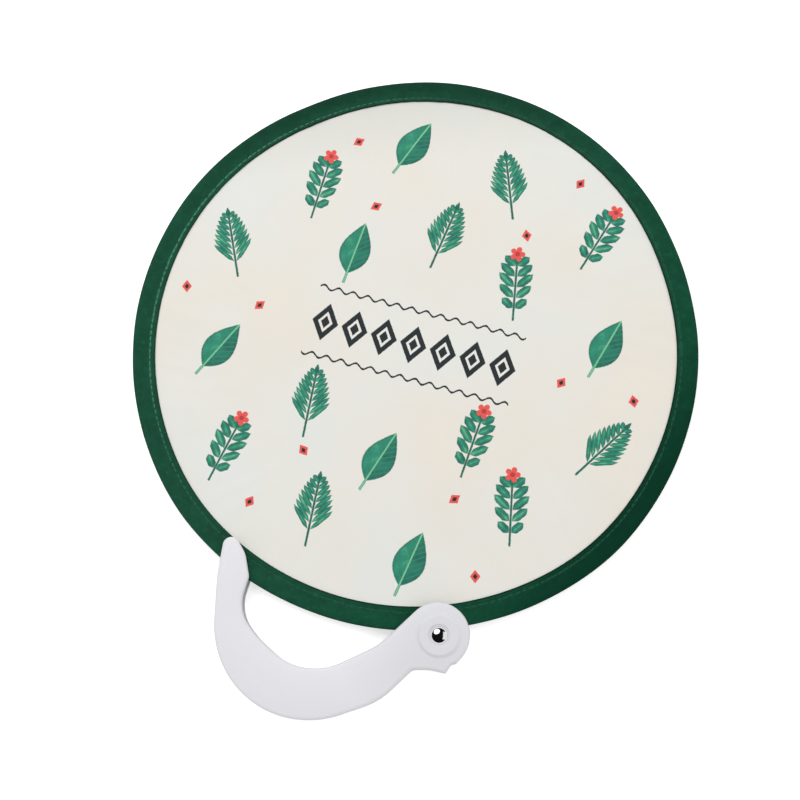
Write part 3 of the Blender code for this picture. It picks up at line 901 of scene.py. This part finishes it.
handle = {
    "fingerSide": [
        (-0.0006, 0.0003, 0.0131), (-0.0379, 0.0234, -0.0280), (-0.0487, 0.0167, -0.0253),
        (-0.0594, 0.0161, -0.0171), (-0.0628, 0.0188, -0.0158), (-0.0797, 0.0311, 0.0045),
        (-0.0863, 0.0373, 0.0104),
    ],
    "backSide": [
        (-0.0818, 0.0440, 0.0035), (-0.0641, 0.0273, 0.0247), (-0.0519, 0.0101, 0.0389),
        (-0.0402, 0.0047, 0.0309), (-0.0111, -0.0158, -0.0033), (-0.0100, -0.0352, -0.0226),
    ],
    "spur": (0.0010, -0.0150, 0.00002),
    "spurSide": [(0.0045, -0.0130, -0.0012), (0.0047, -0.0094, 0.0024)],
    "spurDirection": -13.0,
    "spurOverrun": 0.0039,
    "spurExit": 0.0004,
    "height": 0.0106,
    "plate": 0.0018,
    "wall": 0.0016,
    "frontRound": 0.0012,
    "rearRound": 0.0020,
    "roundSteps": 8,
    "crownDrop": 0.0006,  # the plates' faces fall away towards their edges
    "crownWidth": 0.0090,
    "grid": 0.0025,
    "pointed": 0.0001,
    "tolerance": 0.000012,
    "parting": 0.0003,
    "bossRadius": 0.0094,
    "bossHeight": 0.0008,
    "bossSlope": 0.0018,
    "bossFoot": 0.00024,  # how far under the plate's face the pad's slope starts
    "recessRadius": 0.0042,
    "recessDepth": 0.0004,
    "recessLip": 0.0004,
    "rearRecessRadius": 0.0042,
    "rearRecessDepth": 0.0010,
    "bore": 0.0018,
    "postRing": 0.0346,
    "postAngles": (200, 240, 278),
    "postRadius": 0.0030,
    "pegRadius": 0.0013,
    "pegLength": 0.0024,
    "pegSlip": 0.0002,
    "nubRadius": 0.0024,
    "rimRoom": 0.0003,
    "rooted": 0.0003,  # how far posts and nub reach into the plate they stand on
    "overcut": 0.0020,
    "cutterSize": 0.3,
    "cutterMiddle": -0.04,
}


def belt(circles, inset=0.0):
    # The outline round the circles, along the tangents that join each to the next, or one that runs inside it.
    normals = []
    for (x0, y0, r0), (x1, y1, r1) in zip(circles, circles[1:] + circles[:1]):
        lean = (r0 - r1) / hypot(x1 - x0, y1 - y0)
        normals.append(atan2(y1 - y0, x1 - x0) - acos(max(-1.0, min(1.0, lean))))
    points = []
    for (x, y, radius), start, end in zip(circles, normals[-1:] + normals[:-1], normals):
        side = copysign(1.0, radius)
        sweep = (end - start) * side % tau
        if sweep > 1.5 * pi:
            sweep -= tau
        reach = radius - inset
        if abs(radius) < handle["pointed"]:
            turns, reach = [start + side * sweep / 2], reach / cos(sweep / 2)
        else:
            widest = 2 * acos(max(0.0, 1 - handle["tolerance"] / max(abs(radius), 2 * handle["tolerance"])))
            steps = max(1, ceil(abs(sweep) / widest))
            turns = [start + side * sweep * i / steps for i in range(steps + 1)]
        points += [(x + reach * cos(turn), y + reach * sin(turn)) for turn in turns]
    return points


def depthInside(outline, finest=0.0002):
    # A function that tells how far a point lies from the outline.
    places = []
    for (x0, y0), (x1, y1) in zip(outline, outline[1:] + outline[:1]):
        parts = max(1, ceil(dist((x0, y0), (x1, y1)) / finest))
        places += [(x0 + (x1 - x0) * i / parts, y0 + (y1 - y0) * i / parts, 0.0) for i in range(parts)]
    tree = kdtree.KDTree(len(places))
    for number, place in enumerate(places):
        tree.insert(place, number)
    tree.balance()
    return lambda x, y: tree.find((x, y, 0.0))[2]


def moulded(circles, low, high, lowRound, highRound):
    # A solid with rounded edges all round and faces that crown a little towards the middle.
    turns = quarterTurn(handle["roundSteps"])
    levels = [(lowRound * (1 - cos(turn)), low + lowRound * (1 - sin(turn))) for turn in reversed(turns)]
    levels += [(highRound * (1 - cos(turn)), high - highRound * (1 - sin(turn))) for turn in turns]
    shape = bmesh.new()
    number = shape.verts.layers.int.new("number")
    ring = [shape.verts.new((x, y, levels[0][1])) for x, y in belt(circles, levels[0][0])]
    for i, vert in enumerate(ring):
        vert[number] = i
    bottom = top = shape.faces.new(ring)
    for inset, height in levels[1:]:
        under = top
        pulled = bmesh.ops.extrude_face_region(shape, geom=[under])["geom"]
        top = next(item for item in pulled if isinstance(item, bmesh.types.BMFace))
        if under is not bottom and under.is_valid:
            bmesh.ops.delete(shape, geom=[under], context="FACES_ONLY")
        outline = belt(circles, inset)
        for vert in top.verts:
            vert.co = (*outline[vert[number]], height)
    weld(shape, 2e-5)
    outline = belt(circles)
    for axis, normal in ((0, (1, 0, 0)), (1, (0, 1, 0))):
        places = [point[axis] for point in outline]
        for i in range(1, ceil((max(places) - min(places)) / handle["grid"])):
            cut = [0.0, 0.0, 0.0]
            cut[axis] = min(places) + i * handle["grid"]
            flat = [
                face for face in shape.faces
                if all(min(vert.co.z - low, high - vert.co.z) < 1e-9 for vert in face.verts)
            ]
            edges = dict.fromkeys(edge for face in flat for edge in face.edges)
            verts = dict.fromkeys(vert for face in flat for vert in face.verts)
            bmesh.ops.bisect_plane(shape, geom=[*verts, *edges, *flat], dist=1e-7, plane_co=cut, plane_no=normal)
    depth = depthInside(outline)
    for vert in shape.verts:
        share = min(1.0, depth(vert.co.x, vert.co.y) / handle["crownWidth"])
        drop = handle["crownDrop"] * (1 - share) ** 2
        vert.co.z += drop if vert.co.z < (low + high) / 2 else -drop
    return outward(shape)


def raised(outline, low, high):
    # A flat outline filled and pulled up into a solid.
    shape = bmesh.new()
    shape.faces.new([shape.verts.new((x, y, low)) for x, y in outline])
    weld(shape, 5e-5)
    pulled = bmesh.ops.extrude_face_region(shape, geom=shape.faces[:])
    top = [item for item in pulled["geom"] if isinstance(item, bmesh.types.BMVert)]
    bmesh.ops.translate(shape, verts=top, vec=(0, 0, high - low))
    return outward(shape)


def cylinder(radius, low, high, segments=96):
    shape = bmesh.new()
    bmesh.ops.create_cone(
        shape, cap_ends=True, segments=segments, radius1=radius, radius2=radius, depth=high - low,
        matrix=Matrix.Translation((0, 0, (low + high) / 2)),
    )
    return shape


def box(size, centre):
    shape = bmesh.new()
    bmesh.ops.create_cube(shape, size=1.0, matrix=Matrix.Translation(centre) @ Matrix.Diagonal((*size, 1.0)))
    return shape


def makeShell(name, node, side):
    fingerSide, backSide, spur = handle["fingerSide"], handle["backSide"], handle["spur"]
    wall, overrun, overcut = handle["wall"], handle["spurOverrun"], handle["overcut"]
    lean = radians(handle["spurDirection"])
    exitPlace = (
        spur[0] + overrun * cos(lean) - wall * sin(lean),
        spur[1] + overrun * sin(lean) + wall * cos(lean),
        handle["spurExit"],
    )
    circles = fingerSide + backSide + [spur] + handle["spurSide"]
    inside = belt(
        [(x, y, radius + overcut) for x, y, radius in fingerSide]
        + [(x, y, radius - wall) for x, y, radius in backSide] + [exitPlace]
    )
    pivot = Vector((rivetAxis.x, rivetAxis.y, rearFace))
    top, plate, parting, pegLength = handle["height"], handle["plate"], handle["parting"], handle["pegLength"]
    middle = top / 2

    shell = addPiece(
        name, moulded(circles, 0.0, top, handle["rearRound"], handle["frontRound"]), handlePlastic, pivot
    )
    tools = []

    def cut(operation, shape, place=pivot):
        tool = addPiece("tool", shape, None, place)
        tool.hide_render = True
        step = shell.modifiers.new(operation.lower(), "BOOLEAN")
        step.operation, step.solver, step.object = operation, "EXACT", tool
        tools.append(tool)

    farMiddle = middle - side * (top - parting / 2)
    span = handle["cutterSize"]
    cut("DIFFERENCE", box((span, span, 2 * top), (handle["cutterMiddle"], 0.0, farMiddle)))
    cut("DIFFERENCE", raised(inside, plate, top - plate))
    roomHalf = middle - plate
    cut("DIFFERENCE", cylinder(discRadius + handle["rimRoom"], -roomHalf, roomHalf, 360), discCentre)
    plateFace = middle + side * (roomHalf + handle["rooted"])
    low, high = sorted((plateFace, middle + side * (rim["beadHeight"] + handle["rimRoom"])))
    tipX, tipY = backSide[0][:2]
    cut("UNION", cylinder(handle["nubRadius"], low, high, 48), pivot + Vector((tipX, tipY, 0)))
    low, high = sorted((plateFace, middle + side * parting / 2))
    ringX, ringY = backSide[2][:2]
    for angle in handle["postAngles"]:
        turn = radians(angle)
        outX, outY = polar(handle["postRing"], turn)
        spot = Vector((ringX + outX, ringY + outY, 0))
        cut("UNION", cylinder(handle["postRadius"], low, high, 48), pivot + spot)
        if side > 0:
            cut("UNION", cylinder(handle["pegRadius"], middle - pegLength, high, 32), pivot + spot)
        else:
            socket = cylinder(handle["pegRadius"] + handle["pegSlip"], middle - pegLength - parting, middle, 32)
            cut("DIFFERENCE", socket, pivot + spot)
    if side > 0:
        addBoss(cut)
    else:
        cut("DIFFERENCE", cylinder(handle["rearRecessRadius"], -overcut, handle["rearRecessDepth"]))
    cut("DIFFERENCE", cylinder(handle["bore"], -overcut, top + overcut))
    applyModifiers(shell)
    for tool in tools:
        bpy.data.objects.remove(tool, do_unlink=True)
    shell.data.shade_smooth()
    shell.data.set_sharp_from_angle(angle=sharpAngle)
    even = shell.modifiers.new("even normals", "WEIGHTED_NORMAL")
    even.keep_sharp = True
    applyModifiers(shell)
    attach(shell, "handle")
    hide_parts(node)


def addBoss(cut):
    # A raised pad with soft edges and a shallow dish in it for the rivet's dome.
    top = handle["height"]
    crown = top + handle["bossHeight"]
    outer, slope, base = handle["bossRadius"], handle["bossSlope"], top - handle["plate"] / 2
    foot = top - handle["bossFoot"]
    profile, steps = [(0.0, base), (outer, base)], 12
    for i in range(steps + 1):
        profile.append((outer - slope * i / steps, foot + (crown - foot) * smooth(i, 0, steps)))
    profile.append((0.0, crown))
    cut("UNION", outward(spun(profile, 144)))
    floor, radius, lip = crown - handle["recessDepth"], handle["recessRadius"], handle["recessLip"]
    edge, above = radius + lip, crown + 0.001
    dish = [(0.0, above), (edge, above), (edge, crown)]
    for angle in quarterTurn(8)[1:]:
        dish.append((edge - lip * sin(angle), crown - lip * (1 - cos(angle))))
    dish += [(radius, floor), (0.0, floor)]
    cut("DIFFERENCE", outward(spun(dish, 96)))


rivet = {
    "domeRadius": 0.0040,
    "domeHeight": 0.0023,
    "domeSeat": 0.0014,  # below the dome's top, where it meets the dish
    "domeSteps": 28,
    "postRadius": 0.0010,
    "postSlip": 0.00015,
    "postEnd": 0.0002,  # room past the post's end
    "capRadius": 0.0036,
    "capThickness": 0.0007,
    "capRound": 0.8,
    "stemRadius": 0.0016,
    "segments": 96,
}


def makeRivet():
    frontLow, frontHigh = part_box("rivet_front")
    rearLow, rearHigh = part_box("rivet_rear")
    radius, height, post = rivet["domeRadius"], rivet["domeHeight"], rivet["postRadius"]
    base, seat = frontHigh.z - height, frontHigh.z - rivet["domeSeat"]
    widest = acos((seat - base) / height)
    turns = [widest * i / rivet["domeSteps"] for i in range(rivet["domeSteps"] + 1)]
    profile = [(radius * sin(turn), base + height * cos(turn)) for turn in turns]
    profile += [(post, seat), (post, frontLow.z), (0.0, frontLow.z)]
    pieces = [("domeRivet", "rivet_front", profile)]
    inner, floor = post + rivet["postSlip"], frontLow.z - rivet["postEnd"]
    stem, capEdge, top = rivet["stemRadius"], rivet["capRadius"], rearLow.z + rivet["capThickness"]
    profile = [(0.0, floor), (inner, floor), (inner, rearHigh.z), (stem, rearHigh.z), (stem, top), (capEdge, top)]
    rounding = rivet["capThickness"] * rivet["capRound"]
    for angle in quarterTurn(6):
        profile.append((capEdge - rounding * (1 - cos(angle)), rearLow.z + rounding * (1 - sin(angle))))
    profile.append((0.0, rearLow.z))
    pieces.append(("tubeRivet", "rivet_rear", profile))
    for name, node, outline in pieces:
        shape = outward(spun(outline, rivet["segments"]))
        piece = addPiece(name, shape, polishedChrome, (rivetAxis.x, rivetAxis.y, 0.0))
        piece.data.set_sharp_from_angle(angle=sharpAngle)
        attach(piece, "handle")
        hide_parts(node)


makeShell("frontShell", "handle_front_shell", 1)
makeShell("rearShell", "handle_rear_shell", -1)
makeRivet()
print("handle made")

for finish, names in ((hubPlastic, "hub_front_half hub_rear_half"), (washerPlastic, "front_washer rear_washer")):
    for name in names.split():
        nodes[name].data.materials.clear()
        nodes[name].data.materials.append(finish)


# Studio

studio = {
    "floorSize": 6.0,
    "floorColour": (0.95, 0.95, 0.95, 1.0),
    "floorGlow": 0.52,
    "sky": 0.63,
    "key": {"toward": (-0.250, 0.480, 0.840), "distance": 1.15, "size": (0.92, 0.92), "glow": 2.7, "oval": True},
    "strip": {"toward": (0.715, -0.140, 0.685), "distance": 1.20, "size": (1.25, 0.70), "glow": 0.90, "oval": False},
    "darkRadius": 2.6,
    "darkFrom": 1.1,  # the room's lower edge, so a low mirrored ray still meets the pale background
}


def showsBackground(tree):
    # One for rays that see the background: from the camera, off metal, and through clear things.
    path = addNode(tree, "LightPath").outputs
    camera, glossy, clear = (Wire(path[f"Is {kind} Ray"]) for kind in ("Camera", "Glossy", "Transmission"))
    return larger(larger(camera, glossy), clear)


def makeFloor():
    shape = bmesh.new()
    bmesh.ops.create_grid(shape, x_segments=1, y_segments=1, size=studio["floorSize"] / 2)
    made, tree, _ = newMaterial("paleFloor", studio["floorColour"], 1.0, {"Specular IOR Level": 0.0})
    seen = Wire(addNode(tree, "LightPath").outputs["Is Camera Ray"])
    glow = addNode(tree, "Emission", {"Color": (1, 1, 1, 1), "Strength": seen * studio["floorGlow"]})
    plain = tree.nodes["Principled BSDF"]
    both = addNode(tree, "AddShader", (Wire(plain.outputs[0]), Wire(glow.outputs[0])))
    plug(Wire(both.outputs[0]), tree.nodes["Material Output"].inputs["Surface"])
    floor = addPiece("floor", shape, made, (0, 0, -0.0001))


def makeWorld():
    world = bpy.data.worlds.new("studio")
    world.use_nodes = True
    bpy.context.scene.world = world
    tree = world.node_tree
    background = tree.nodes["Background"]
    background.inputs["Color"].default_value = (1, 1, 1, 1)
    plug(ramp(showsBackground(tree), 0.0, 1.0, studio["sky"], 1.0), background.inputs["Strength"])


def makeLamp(name, toward, distance, size, glow, oval):
    # The power that gives each lamp its glow depends on its area.
    lamp = addObject(name, bpy.data.lights.new(name, "AREA"))
    lamp.data.shape = "ELLIPSE" if oval else "RECTANGLE"
    lamp.data.size, lamp.data.size_y = size
    area = size[0] * size[1] * (pi / 4 if oval else 1.0)
    lamp.data.energy = glow * pi * area
    aim = Vector(toward).normalized()
    facing = aim.to_track_quat("Z", "Y").to_matrix().to_4x4()
    lamp.matrix_world = Matrix.Translation(discCentre + aim * distance) @ facing


def makeDarkRoom():
    # A dark room round the lamps, which only the polished and glossy surfaces mirror.
    shape = bmesh.new()
    bmesh.ops.create_uvsphere(shape, u_segments=48, v_segments=24, radius=studio["darkRadius"])
    bmesh.ops.bisect_plane(
        shape, geom=shape.verts[:] + shape.edges[:] + shape.faces[:], clear_inner=True,
        plane_co=(0, 0, studio["darkFrom"]), plane_no=(0, 0, 1),
    )
    made = newMaterial("darkRoom", (0.01, 0.01, 0.01, 1.0), 1.0, {"Specular IOR Level": 0.0})[0]
    room = addPiece("darkRoom", shape, made)
    room.visible_camera = room.visible_diffuse = room.visible_shadow = room.visible_transmission = False


makeFloor()
makeWorld()
makeLamp("key", **studio["key"])
makeLamp("strip", **studio["strip"])
makeDarkRoom()
bpy.context.scene.view_settings.view_transform = "Standard"
print("studio made")
